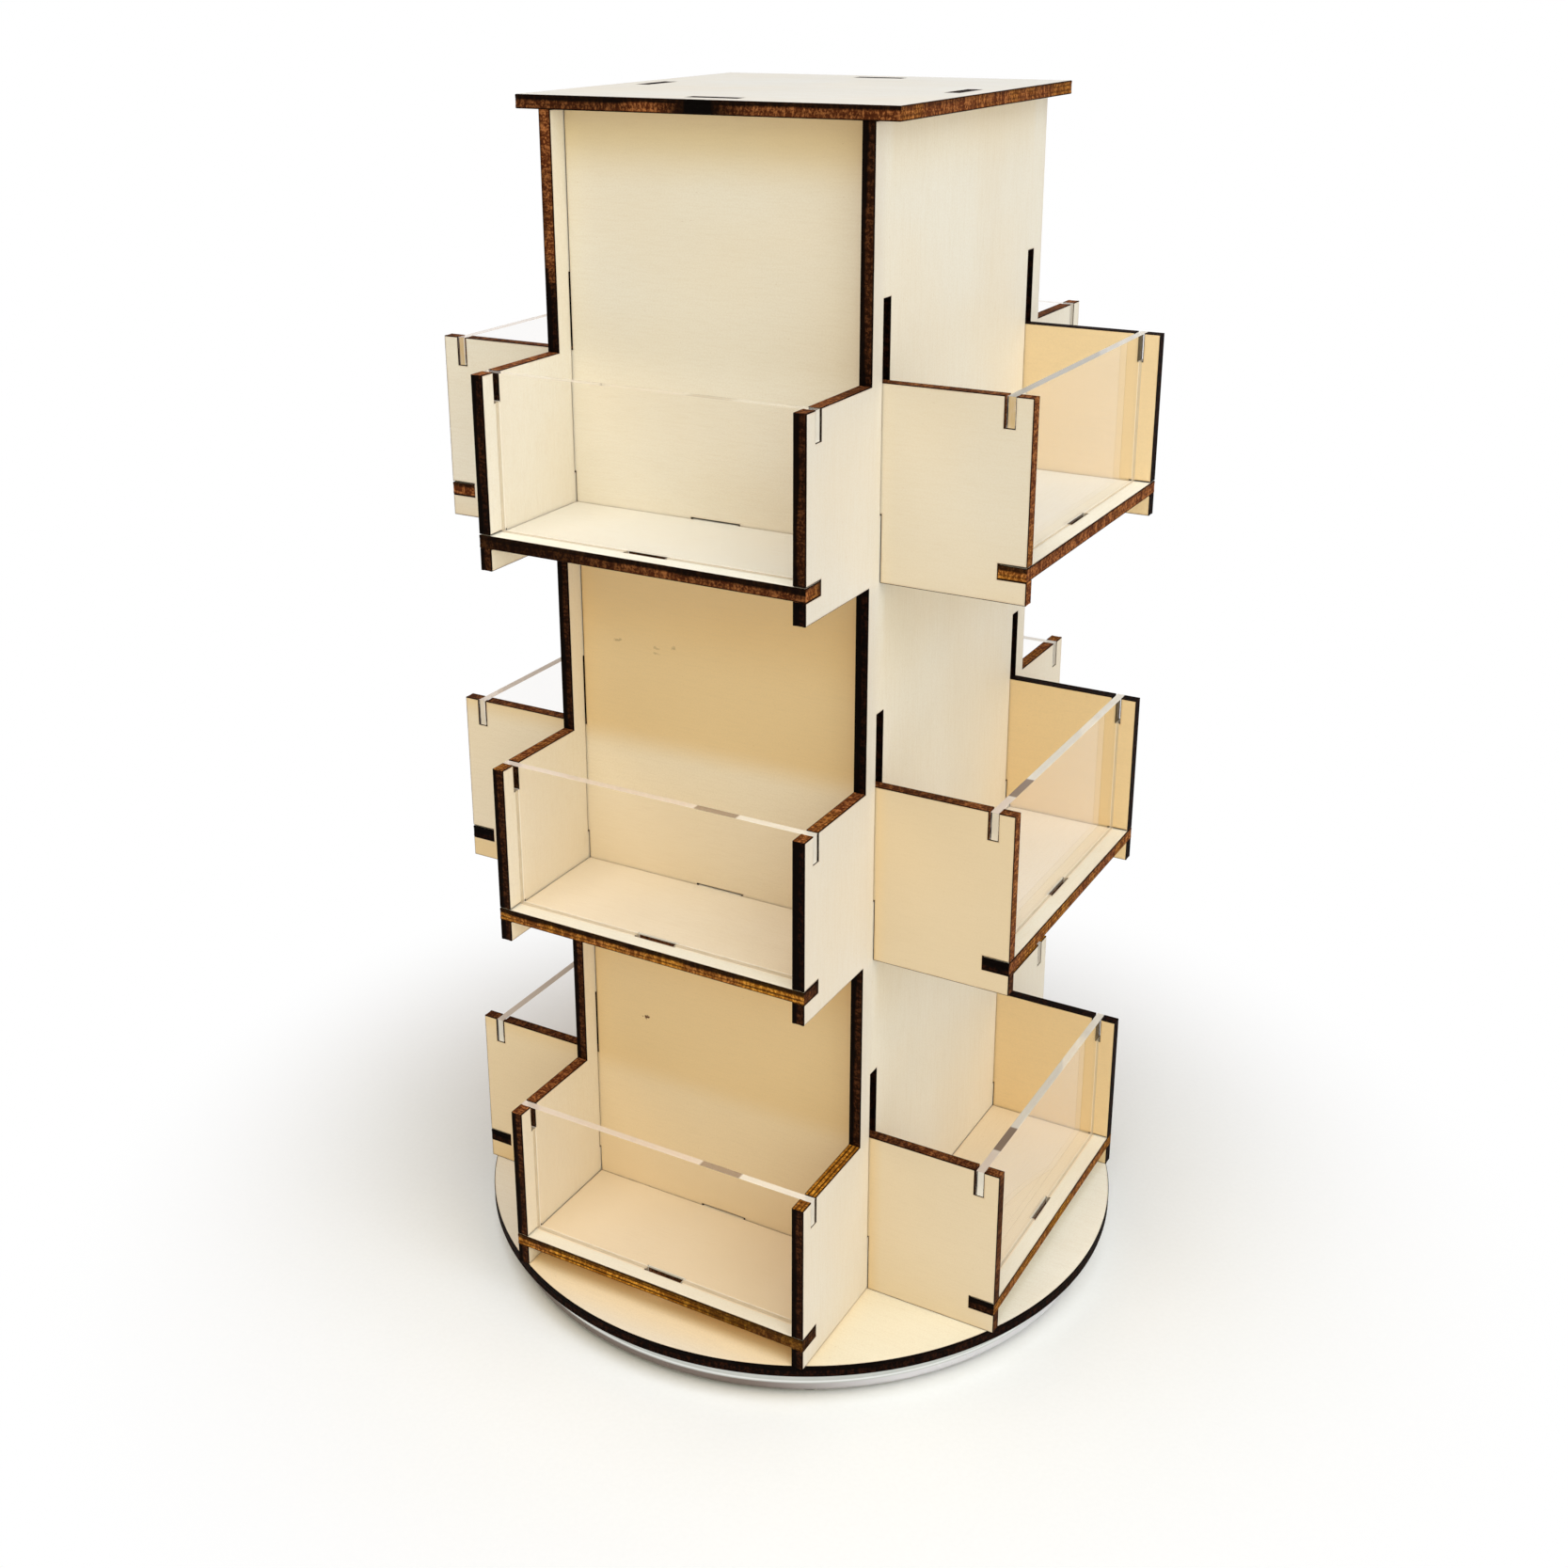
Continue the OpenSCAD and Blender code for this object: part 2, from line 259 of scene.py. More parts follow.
def under_shelf(p):
    """How much a wall is shaded: most close below a shelf or the top plate, less further down.

    shaded is the most on the board, and beside the distance to the column's upright axis."""
    total = 0.0
    height = p.attribute("height")
    for level, reach in OVERHANGS:
        below = p.band(height, level - reach, level - SHADE_FULL * reach)
        below = p.maths("MULTIPLY", below, p.band(height, level, level + MM, 1.0, 0.0))
        total = p.maths("ADD", total, below)
    column = p.band(p.maths("ABSOLUTE", p.attribute("beside")), *SHADE_ENDS, 1.0, 0.0)
    return p.maths("MULTIPLY", total, p.maths("MULTIPLY", column, p.attribute("shaded")))


# Through a board's edge, from 0 in its middle to 1 at a face: the middle of a glue line, where a
# glue line ends on both sides of it, and where the corners' char begins and is full
GLUE_LINE = 0.36
GLUE_HALF = 0.06, 0.2
CORNER_CHAR = 0.76, 0.9
# From -1 to 1 across the edge: where the black side begins and is full, and how far it moves as
# its width changes by 1
BLACK_SIDE = -0.1, 0.35
BLACK_GAIN = 0.6
# Ember values, char and painted light together, between which char turns to brown, and brown to
# gold
TURNS_BROWN = 0.0, 0.4
TURNS_GOLD = 0.45, 0.9


def cut_edge():
    """Edge of a plywood board as the laser leaves it: three plies, charred at the corners.

    ember says how lightly it is burnt, from 0, black, over brown to 1, golden: partly the char's
    own colour and partly painted light, lighter on edges that face the lamps. layer is where a
    point lies through the thickness, from -1 to 1, and black how wide the dark side at 1 is.
    depth is how far below the top a point lies, and pale how far down from there the wall of a
    slot is as light as the faces."""
    p = Paint("laser_cut_edge")
    sheet = p.attribute("sheet", "Vector")
    layer = p.attribute("layer")
    off_middle = p.maths("ABSOLUTE", layer)
    speckle = p.noise(sheet, (2100, 2100, 1700), detail=3, roughness=0.7)
    stripes = p.noise(sheet, (1100, 1100, 420), detail=2)
    drift = p.noise(sheet, 60, detail=2)
    ember_and_light = p.maths("MULTIPLY", p.attribute("ember_and_light"), p.spread(drift, 0.7, 1.3))
    spots = p.band(p.maths("MULTIPLY_ADD", stripes, 0.6, speckle), 0.72, 1.0)
    colour = p.mix(p.band(ember_and_light, *TURNS_BROWN), p.mix(spots, *CHAR), p.mix(spots, *BROWN))
    colour = p.mix(p.band(ember_and_light, *TURNS_GOLD), colour, p.mix(spots, *GOLD))
    glue = p.maths("ABSOLUTE", p.maths("SUBTRACT", off_middle, GLUE_LINE))
    glue = p.band(glue, *GLUE_HALF, 1.0, 0.0)
    glue = p.maths("MULTIPLY", glue, p.band(ember_and_light, 0.4, 0.9, 0.15, 0.85))
    black = p.attribute("black")
    reach = p.maths("ADD", layer, p.spread(drift, 0.2, -0.2))
    wider = p.maths("MULTIPLY", p.maths("SUBTRACT", black, 1.0), BLACK_GAIN)
    side = p.band(p.maths("ADD", reach, wider), *BLACK_SIDE, 0.0, 0.94)
    side = p.maths("MULTIPLY", side, p.maths("MINIMUM", p.maths("MULTIPLY", black, 1.5), 1.0))
    corner = p.maths("ADD", off_middle, p.spread(speckle, -0.05, 0.05))
    corner = p.band(corner, *CORNER_CHAR, 0.0, 0.92)
    dark = p.attribute("scorch")
    for share in (corner, side, glue):
        dark = p.maths("MAXIMUM", dark, share)
    colour = p.mix(dark, colour, CHAR_BLACK)
    # Painted light on the upper part of a slot's wall, as light as the faces
    pale = p.maths("SUBTRACT", p.attribute("pale"), p.attribute("depth"))
    colour = p.mix(p.band(pale, 0.0, 0.1 * MM), colour, VENEER)
    relief = p.bump(p.maths("ADD", stripes, speckle), 0.05 * MM, 0.6)
    return p.finish(p.shader(Base_Color=colour, Roughness=p.spread(speckle, 0.6, 0.85),
                             Normal=relief, Specular_IOR_Level=0.03))


def clear_in_shadow(p, surface, tint, always=0.0):
    """The surface mixed with clear, which is all that light and shadows meet.

    always is how clear it is for everything else."""
    through = p.node("BsdfTransparent", {"Color": tint})
    path = p.node("LightPath").outputs
    lit = p.maths("MAXIMUM", path["Is Shadow Ray"], path["Is Diffuse Ray"])
    share = p.maths("MAXIMUM", lit, always)
    return p.finish(p.node("MixShader", {0: share, 1: surface.outputs[0], 2: through.outputs[0]}))


# Less than the real sheet's, so that its faces mirror as little as in the photograph
ACRYLIC_IOR = 1.22
# Half the length of the painted shade of the tab seen through a top edge, from where it is plain
# to where it ends
TAB_HALF = 4.9 * MM, 5.6 * MM
# Beside that tab, where the top edge turns from painted shade to painted light
TURNS_BRIGHT = -8 * MM, -2 * MM
# From the sheet's inner face, at -1, to its outer one, at 1: where a side edge takes its painted
# shade, and where the painted shade of the gap beside it begins
EDGE_SHADE = -0.9, -0.6
GAP_BEGINS = 0.45, 0.6


def acrylic_face():
    p = Paint("clear_acrylic")
    glass = p.shader(Base_Color=ACRYLIC_TINT, Roughness=0.0, IOR=ACRYLIC_IOR,
                     Transmission_Weight=1.0, Specular_Tint=ACRYLIC_SHEEN)
    return clear_in_shadow(p, glass, ACRYLIC_TINT)


def acrylic_edge():
    """Cut edge of the clear sheet: pale, partly clear, with its tab below seen through the top.

    along is the distance from the place where the tab is seen, layer 1 at the outer face and -1 at
    the inner, gap the layer, 1 or -1, at which an edge shows the dark gap beside it, amber how
    much of the wood behind tints it, upward 1 on the top edge, and clear how much is seen through.
    Its pale colour is painted light, for the light that the sheet carries to its edges; the dim
    part of the top edge, the tab, the dark gap and the side shade are painted shade, and the amber
    is the wood painted as seen through the sheet.
    """
    p = Paint("acrylic_edge")
    along, upward = p.attribute("along"), p.attribute("upward")
    layer, gap = p.attribute("layer"), p.attribute("gap")
    lines = p.noise(p.attribute("sheet", "Vector"), (400, 400, 2200), detail=2)
    shade = p.mix(p.maths("ABSOLUTE", gap), ACRYLIC_SIDE_SHADE, ACRYLIC_EDGE_LIGHT)
    shade = p.mix(p.attribute("amber"), shade, ACRYLIC_END_SEEN_WOOD)
    side = p.mix(p.band(layer, *EDGE_SHADE), ACRYLIC_EDGE_LIGHT, shade)
    side = p.mix(p.band(p.maths("MULTIPLY", layer, gap), *GAP_BEGINS), side, ACRYLIC_GAP_SHADE)
    top = p.mix(p.band(along, *TURNS_BRIGHT), ACRYLIC_DIM, ACRYLIC_EDGE_LIGHT)
    colour = p.mix(upward, side, top)
    colour = p.mix(p.band(lines, 0.4, 0.7, 0.0, 0.25), colour, ACRYLIC_DIM)
    tab = p.band(p.maths("ABSOLUTE", along), *TAB_HALF, 1.0, 0.0)
    colour = p.mix(p.maths("MULTIPLY", tab, upward), colour, ACRYLIC_TAB_SHADE)
    solid = p.shader(Base_Color=colour, Roughness=0.22, Specular_IOR_Level=0.5,
                     Normal=p.bump(lines, 0.01 * MM, 0.3))
    return clear_in_shadow(p, solid, ACRYLIC_TINT, p.attribute("clear"))


# The outer ring's painted dark reflection, a band round its lower part: its top, how far above
# that the painted glint over it lies, half the glint's height, from where it is full to where it
# ends, its share, and how the band ends at the top
RING_REFLECTION_TOP = 3.5 * MM
GLINT_ABOVE = 0.45 * MM
GLINT_HALF = 0.1 * MM, 0.35 * MM
GLINT_MOST = 0.8
REFLECTION_ENDS = RING_REFLECTION_TOP - 0.25 * MM, RING_REFLECTION_TOP + 0.15 * MM
# Between these distances to the right of the rack's axis the band turns to a painted light
# reflection
REFLECTION_LIGHTENS = 24 * MM, 62 * MM


def turned_metal(name, colour, roughness, ridge, painted_reflections=False):
    """Metal turned on a lathe round the rack's axis: fine rings, uneven sheen.

    ridge is how many rings there are in a metre, and banded adds the outer ring's painted
    reflections: a dark band round its lower part, light towards the right, with a painted glint
    above it."""
    p = Paint(name)
    place = p.node("TexCoord").outputs["Object"]
    across = p.scaled(place, (1, 1, 0))
    radius = p.node("VectorMath", {0: across}, operation="LENGTH").outputs["Value"]
    side, _, height = p.node("SeparateXYZ", {0: place}).outputs
    profile = p.node("CombineXYZ", {"X": radius, "Y": height}).outputs[0]
    rings = p.noise(profile, (ridge, ridge, 1), detail=3, roughness=0.7)
    haze = p.noise(place, 60, detail=3)
    tint = p.mix(p.band(haze, 0.35, 0.65, 0.0, 0.2), colour, METAL_HAZE)
    tint = p.mix(p.spread(rings, 0.0, 0.2), tint, METAL_RIDGE)
    rough = p.maths("ADD", roughness, p.spread(haze, -0.05, 0.10))
    if painted_reflections:
        # Painted reflections: the dark band below, light to the right, and a painted glint above it
        glint = p.maths("ABSOLUTE", p.maths("SUBTRACT", height, RING_REFLECTION_TOP + GLINT_ABOVE))
        tint = p.mix(p.band(glint, *GLINT_HALF, GLINT_MOST, 0.0), tint, RING_GLINT)
        shade = p.mix(p.band(side, *REFLECTION_LIGHTENS), RING_DARK_REFLECTION, RING_LIGHT_REFLECTION)
        tint = p.mix(p.band(height, *REFLECTION_ENDS, 1.0, 0.0), tint, shade)
    return p.finish(p.shader(Base_Color=tint, Metallic=1.0, Roughness=rough,
                             Normal=p.bump(rings, 0.01 * MM, 0.5)))


def moulded(name, colour, worn, roughness, grain):
    """Moulded rubber or plastic: fine grain with a little dust or wear."""
    p = Paint(name)
    place = p.node("TexCoord").outputs["Object"]
    fine = p.noise(place, grain, detail=3, roughness=0.6)
    broad = p.noise(place, 120, detail=2)
    tint = p.mix(p.band(broad, 0.4, 0.7, 0.0, 0.3), colour, worn)
    rough = p.maths("ADD", roughness, p.spread(fine, -0.06, 0.08))
    return p.finish(p.shader(Base_Color=tint, Roughness=rough,
                             Normal=p.bump(fine, 0.02 * MM, 0.4)))


# Outlines of flat boards

# An outline with more points than this, all as far from its middle within a margin, is round
ROUND_POINTS = 12
ROUND_WITHIN = 0.02 * MM
# Length of a round outline's sides, and how many it has at least
ROUND_SIDE = 1.5 * MM
ROUND_SIDES = 24
# Sine of the least turn that counts as a corner
CORNER_TURN = 0.01
# Angle from which an edge between two faces stays sharp
SHARP_ANGLE = math.radians(35)


def neighbours(points):
    """Each point of a closed outline with the ones before and after it."""
    return zip(points[-1:] + points[:-1], points, points[1:] + points[:1])


def outlines(node, axis):
    """A flat node's outlines seen against an axis, with its solid on their left side."""
    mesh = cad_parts[node].data
    mesh.calc_loop_triangles()
    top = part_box(node)[1][axis] - SNAP
    across, up = (axis + 1) % 3, (axis + 2) % 3
    sides = set()
    for triangle in mesh.loop_triangles:
        corners = [mesh.vertices[i].co for i in triangle.vertices]
        if min(c[axis] for c in corners) < top or triangle.normal[axis] < 0.5:
            continue
        flat = [(round(c[across] / SNAP), round(c[up] / SNAP)) for c in corners]
        sides.update(zip(flat, flat[1:] + flat[:1]))
    follow = {a: b for a, b in sorted(sides) if (b, a) not in sides}
    loops = []
    while follow:
        start = min(follow)
        loop = [start]
        while (point := follow.pop(loop[-1])) != start:
            loop.append(point)
        loops.append(straightened([Vector(point) * SNAP for point in loop]))
    return loops


def straightened(loop):
    """The outline without the points that lie on a straight run, and evenly cut if it is round."""
    middle = sum(loop, Vector((0, 0))) / len(loop)
    radii = [(point - middle).length for point in loop]
    if len(loop) > ROUND_POINTS and max(radii) - min(radii) < ROUND_WITHIN:
        turn = 1 if signed_area(loop) > 0 else -1
        count = max(ROUND_SIDES, round(max(radii) * math.tau / ROUND_SIDE))
        angles = [turn * math.tau * i / count for i in range(count)]
        return [middle + max(radii) * Vector((math.cos(a), math.sin(a))) for a in angles]
    return [
        point for before, point, after in neighbours(loop)
        if abs((point - before).normalized().cross((after - point).normalized())) > CORNER_TURN
    ]


def signed_area(loop):
    return sum(a.cross(b) for a, b in zip(loop, loop[1:] + loop[:1])) / 2


def divided(loop, step):
    """The outline with points added, so that none of its sides is much longer than step."""
    points = []
    for a, b in zip(loop, loop[1:] + loop[:1]):
        count = max(1, round((b - a).length / step))
        points += [a.lerp(b, i / count) for i in range(count)]
    return points


def inset(loop, distance):
    """The outline moved into the solid by distance."""
    points = []
    for before, point, after in neighbours(loop):
        a, b = (point - before).normalized(), (after - point).normalized()
        inward = Vector((-a.y - b.y, a.x + b.x))
        points.append(point + inward * (distance / (1 + a.dot(b))))
    return points


class Board:
    """A flat piece built in rows of points, from one face over its edge to the other.

    The rows handed in go to the middle of the edge, in mm: how far inside the outline, how deep.
    slots are its faces' materials, 0 on the faces of the board and 1 on its edge, facing the ways
    in which they look, and in_slot tells which of them lie in a slot or a hole. layers is where
    its points lie through the thickness, from -1 at the low face to 1."""

    def __init__(self, node, axis, rows, step):
        low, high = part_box(node)
        thickness = high[axis] - low[axis]
        rows = [(a * MM, b * MM) for a, b in rows]
        rows += [(a, thickness - b) for a, b in reversed(rows) if b < thickness / 2 - SNAP]
        self.axis, self.high = axis, high
        self.points, self.rows = [], []
        self.faces, self.slots, self.facing, self.in_slot = [], [], [], []
        loops = [divided(loop, step) for loop in outlines(node, axis)]
        loops.sort(key=signed_area, reverse=True)
        self.build(loops, rows)
        self.layers = [2 * (p[axis] - low[axis]) / thickness - 1 for p in self.points]

    def place(self, flat, depth):
        point = [0.0, 0.0, 0.0]
        point[(self.axis + 1) % 3], point[(self.axis + 2) % 3] = flat
        point[self.axis] = self.high[self.axis] - depth
        return Vector(point)

    def build(self, loops, rows):
        """Adds the rows, (inset, depth) from one face to the other, and closes both faces."""
        rims = {0: [], len(rows) - 1: []}
        for loop in loops:
            first = len(self.points)
            for index, (distance, depth) in enumerate(rows):
                flat = inset(loop, distance)
                self.points += [self.place(point, depth) for point in flat]
                self.rows += [index] * len(flat)
                if index in rims:
                    rims[index].append((flat, first + index * len(loop)))
            count = len(loop)
            for index in range(len(rows) - 1):
                upper, lower = first + index * count, first + (index + 1) * count
                on_face = index in (0, len(rows) - 2)
                for i in range(count):
                    j = (i + 1) % count
                    run = loop[j] - loop[i]
                    outward = self.place((run.y, -run.x), 0) - self.place((0, 0), 0)
                    self.add((lower + i, lower + j, upper + j, upper + i), 0 if on_face else 1,
                             outward.normalized(), signed_area(loop) < 0)
        for index, rim in rims.items():
            self.cap(rim, index == 0)

    def add(self, face, slot, facing=Vector(), in_slot=False):
        self.faces.append(face)
        self.slots.append(slot)
        self.facing.append(facing)
        self.in_slot.append(in_slot)

    def cap(self, rim, facing_up):
        numbers = [first + i for flat, first in rim for i in range(len(flat))]
        flat = [point.to_3d() for loop, first in rim for point in loop]
        loops = [[point.to_3d() for point in loop] for loop, first in rim]
        for a, b, c in geometry.tessellate_polygon(loops):
            turn = (flat[b] - flat[a]).cross(flat[c] - flat[a]).z
            if abs(turn) < SNAP ** 2:
                continue
            order = (a, b, c) if (turn > 0) == facing_up else (c, b, a)
            self.add(tuple(numbers[i] for i in order), 0)

    def mesh(self, name):
        made = bpy.data.meshes.new(name)
        made.from_pydata(self.points, [], self.faces)
        made.polygons.foreach_set("material_index", self.slots)
        return made


def numbers_on(mesh, name, values, kind="FLOAT", domain="POINT"):
    """Adds values to a mesh's points or faces, a number or a vector each."""
    attribute = mesh.attributes.new(name, kind, domain)
    if kind == "FLOAT":
        attribute.data.foreach_set("value", values)
    else:
        attribute.data.foreach_set("vector", [number for vector in values for number in vector])


def piece(name, mesh, materials, body, slot, *nodes):
    """Puts a mesh in the scene as a piece that stands for CAD nodes."""
    for material in materials:
        mesh.materials.append(material)
    mesh.shade_smooth()
    mesh.set_sharp_from_angle(angle=SHARP_ANGLE)
    made = bpy.data.objects.new(name, mesh)
    bpy.context.scene.collection.objects.link(made)
    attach(made, body)
    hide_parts(*nodes)
    return made


# Plywood boards

PLY_ROWS = (
    (0.60, 0.00), (0.18, 0.00), (0.03, 0.08), (0.00, 0.20), (0.02, 0.82), (0.07, 0.92),
    (0.03, 1.02), (0.04, 1.50),
)
BOARD_STEP = 3 * MM
# How lightly an edge is burnt and how black its one side is, by the way it faces: partly the
# char's own colour and partly painted light, lighter on edges that face up and to the right,
# towards the lamps, and darker on those that face the front. A row of values is for the low, mid
# and top tier and, where it has a fourth, for the tabs in the top plate
EMBERS_AND_LIGHT = {"front": 0.08, "right": 0.40, "up": 0.30, "other": 0.14, "slot": 0.0}
BLACKS = {"front": 1.0, "right": 0.2, "up": 0.1, "other": 0.4, "slot": 1.0}
# A face looks one of these ways where its direction has this share of it or more
LEAST_SHARE = 0.7
WAYS = {"front": Vector((0, -1, 0)), "right": Vector((1, 0, 0)), "up": Vector((0, 0, 1))}
TIER_FLOORS = [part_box(f"{tier}_front_shelf")[0].z for tier in TIERS] + [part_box("top_plate")[0].z]
# Heights between which painted warm shade comes onto a wall's veneer, more of it downwards
FOOT_SHADE_LOW = 0.17
FOOT_SHADE_HIGH = 0.205
# Where the painted light on a shelf's strip outside its clear front begins
STRIP_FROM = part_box("top_right_pane")[1].x
# How much the overhangs shade each wall, their heights and how far down each reaches
SHADED = {"front_wall": 1.0, "back_wall": 0.6, "left_wall": 0.4, "right_wall": 0.3}
OVERHANGS = ((TIER_FLOORS[3], 17 * MM), (TIER_FLOORS[2], 36 * MM), (TIER_FLOORS[1], 30 * MM))
# Part of that reach over which the shade is full, and between which distances from the column's
# upright axis it ends
SHADE_FULL = 0.2
SHADE_ENDS = 36 * MM, 39 * MM


def sheet_shift(node):
    """A place in the wood's pattern of its own for each board."""
    draw = random.Random(node)
    return Vector([draw.uniform(0, 2) for _ in range(3)])


# Patches of painted light and shade
def lit_and_shaded(node, *light_and_shade):
    """Patches for the veneer of a board, their windows measured from the rack's axis and floor."""
    shift = sheet_shift(node)
    return [
        ([(way, shift[way] + start, shift[way] + full) for way, start, full in windows],
         tint, share)
        for windows, tint, share in light_and_shade
    ]


def plywood(node, axis, grain, tones_and_shades, foot_shade=0.0, embers_and_light=(), blacks=(), burnt=1, *, faces,
            scorches=(), outward=Vector(), pale=0.0):
    """A plywood board across an axis, with its grain along another.

    tones shade its low and its high face, partly as the wood's own colour and partly as
    painted warm shade, and warmer adds painted warm shade to them towards the foot of a wall.
    embers and blacks are its own values in place of the usual ones, burnt the face, 1 or -1, at
    which the black sides lie, faces its veneer, scorches black places, as (point, radius, most),
    outward the way in which a shelf leaves the column, and pale how deep the light part of its
    slot's wall is."""
    board = Board(node, axis, PLY_ROWS, BOARD_STEP)
    points, top, last = board.points, board.high[axis], max(board.rows)
    mesh = board.mesh(node)
    shift = sheet_shift(node)
    across = 3 - axis - grain
    numbers_on(mesh, "sheet", [
        (p[grain] + shift.x, p[across] + shift.y, p[axis] + shift.z) for p in points
    ], "FLOAT_VECTOR")
    for name, values in {
        "tone_and_shade": [tones_and_shades[layer > 0] for layer in board.layers],
        "foot_shade": [foot_shade] * len(points),
        "depth": [top - p[axis] for p in points],
        "outward": [p.dot(outward) for p in points],
        "shaded": [SHADED.get(node, 0.0)] * len(points),
        "beside": [p[Y - axis] if node in SHADED else 0.0 for p in points],
        "height": [p.z for p in points],
        "burn": [float(0 < row < last) for row in board.rows],
        "layer": [burnt * layer for layer in board.layers],
        "scorch": [scorched(p, scorches) for p in points],
    }.items():
        numbers_on(mesh, name, values)
    ways = ["slot" if in_slot else way_of(facing)
            for facing, in_slot in zip(board.facing, board.in_slot)]
    heights = [points[face[0]].z for face in board.faces]
    for name, chosen in (("ember_and_light", {**EMBERS_AND_LIGHT, **dict(embers_and_light)}),
                         ("black", {**BLACKS, **dict(blacks)})):
        numbers_on(mesh, name, [value_at(chosen[way], height)
                                for way, height in zip(ways, heights)], domain="FACE")
    numbers_on(mesh, "pale", [
        pale if way == "slot" and facing.dot(outward) > LEAST_SHARE else 0.0
        for way, facing in zip(ways, board.facing)
    ], domain="FACE")
    return piece(node + "_board", mesh, [faces, CUT_EDGE], "rack", "plywood", node)


def way_of(facing):
    for way, direction in WAYS.items():
        if facing.dot(direction) > LEAST_SHARE:
            return way
    return "other"


def value_at(value, height):
    """An edge's value at a height: one for all, one for each tier, or a function of the height."""
    if callable(value):
        return value(height)
    if isinstance(value, tuple):
        above = sum(height > floor for floor in TIER_FLOORS) - 1
        return value[min(max(0, above), len(value) - 1)]
    return value


# Height over which one value of an edge turns into another
TURN_HEIGHT = 10 * MM
# How fast a black place darkens inwards
SCORCH_RISE = 1.6


def turning(level, below, above):
    """A value for an edge that changes above a height."""
    def value(height):
        share = min(max(0.0, (height - level) / TURN_HEIGHT), 1.0)
        return (1 - share) * value_at(below, height) + share * above
    return value


def scorched(point, scorches):
    """How black a point is: most near the middle of a black place, and less towards its rim."""
    share = 0.0
    for centre, radius, most in scorches:
        away = (point - Vector(centre)).length / radius
        share = max(share, min(most, SCORCH_RISE * (1 - away)))
    return share


# Clear fronts

PANE_ROWS = ((0.20, 0.05), (0.12, 0.05), (0.05, 0.12))
PANE_STEP = 20 * MM
# At which layer the edges of the sheets on two sides take painted shade for the gap to their slot
GAPS = {("front", "right"): -1.0, ("right", "front"): -1.0, ("left", "front"): 1.0}
# How clear the sheet's side edges are
EDGE_CLEAR = 0.25


# The tab seen through the top edge and the amber of the front end are painted on the sheet's edges
def clear_front(node, axis, tab_seen, top_clear, outward, amber):
    """An acrylic sheet with polished cut edges, a hair smaller than its slots all round.

    tab_seen is where along it the tab in the shelf shows through the top edge, top_clear how
    clear that edge is, outward the side of the rack, and amber the tint of its front end."""
    board = Board(node, axis, PANE_ROWS, PANE_STEP)
    mesh = board.mesh(node)
    outer = OUTWARD[outward][axis]
    numbers_on(mesh, "sheet", [(p[Y - axis], p.z, p[axis]) for p in board.points], "FLOAT_VECTOR")
    numbers_on(mesh, "along", [p[Y - axis] - tab_seen for p in board.points])
    numbers_on(mesh, "layer", [outer * layer for layer in board.layers])
    ways = [way_of(facing) for facing in board.facing]
    for name, values in {
        "upward": [float(way == "up") for way in ways],
        "gap": [GAPS.get((outward, way), 0.0) for way in ways],
        "amber": [amber if way == "front" else 0.0 for way in ways],
        "clear": [top_clear if way == "up" else EDGE_CLEAR for way in ways],
    }.items():
        numbers_on(mesh, name, values, domain="FACE")
    piece(node + "_sheet", mesh, [PANE_FACE, PANE_EDGE], "rack", "clear_acrylic", node)


# Turned pieces of the bearing

# Sizes of the bearing's details
RING_WIDTH = 8.7 * MM
RING_CHAMFER = 0.3 * MM
RING_FOOT = 1.4 * MM
RING_ROUND = 2.6 * MM
BALL_RADIUS = 2 * MM
GROOVE = 2.05 * MM
ARC_STEPS = 8
FOOT_RADIUS = 3 * MM
FOOT_ROUND = 0.5 * MM
SCREW_RADIUS = 1.5 * MM
SCREW_HEAD = 6 * MM
HEAD_CHAMFER = 0.1 * MM
SCREW_POINT = 0.4 * MM
THREAD_START = 2.6 * MM
THREAD_LEAD = 0.2 * MM
THREAD_PITCH = 0.5 * MM
THREAD_DEPTH = 0.28 * MM
THREAD_ROWS = 5
NUT_WIDTH = 5.5 * MM
NUT_PLAY = 0.03 * MM
# Share of a nut's width that its faces keep, and the slope of the chamfer outside them
NUT_FACE = 0.97
NUT_SLOPE = math.tan(math.radians(30))
ball_low, ball_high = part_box("bearing_balls")
BALL_CIRCLE = ball_high.x - BALL_RADIUS
BALL_HEIGHT = (ball_low.z + ball_high.z) / 2


def lathe(node, section, count, centres):
    """A mesh turned about upright axes, in count steps.

    section gives the outline, as (radius, height) with the solid on its left, from the corners
    of the node's box and an angle."""
    points, faces = [], []
    angles = [math.tau * i / count for i in range(count)]
    low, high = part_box(node)
    for x, y in centres:
        outlines_at = [section(low, high, angle) for angle in angles]
        rows = []
        for index, (first_radius, _) in enumerate(outlines_at[0]):
            start = len(points)
            around = count if first_radius > SNAP else 1
            for angle, outline in list(zip(angles, outlines_at))[:around]:
                radius, height = outline[index]
                points.append((x + radius * math.cos(angle), y + radius * math.sin(angle), height))
            rows.append([start + i % around for i in range(count)])
        for lower, upper in zip(rows, rows[1:] + rows[:1]):
            for i in range(count):
                j = (i + 1) % count
                face = tuple(dict.fromkeys((lower[i], lower[j], upper[j], upper[i])))
                if len(face) > 2:
                    faces.append(face)
    mesh = bpy.data.meshes.new("turned")
    mesh.from_pydata(points, [], faces)
    return mesh


def arc(centre, radius, start, end):
    """Points on an arc in a section, from one angle to another in degrees."""
    angles = [math.radians(start + (end - start) * i / ARC_STEPS) for i in range(ARC_STEPS + 1)]
    return [(centre[0] + radius * math.cos(a), centre[1] + radius * math.sin(a)) for a in angles]


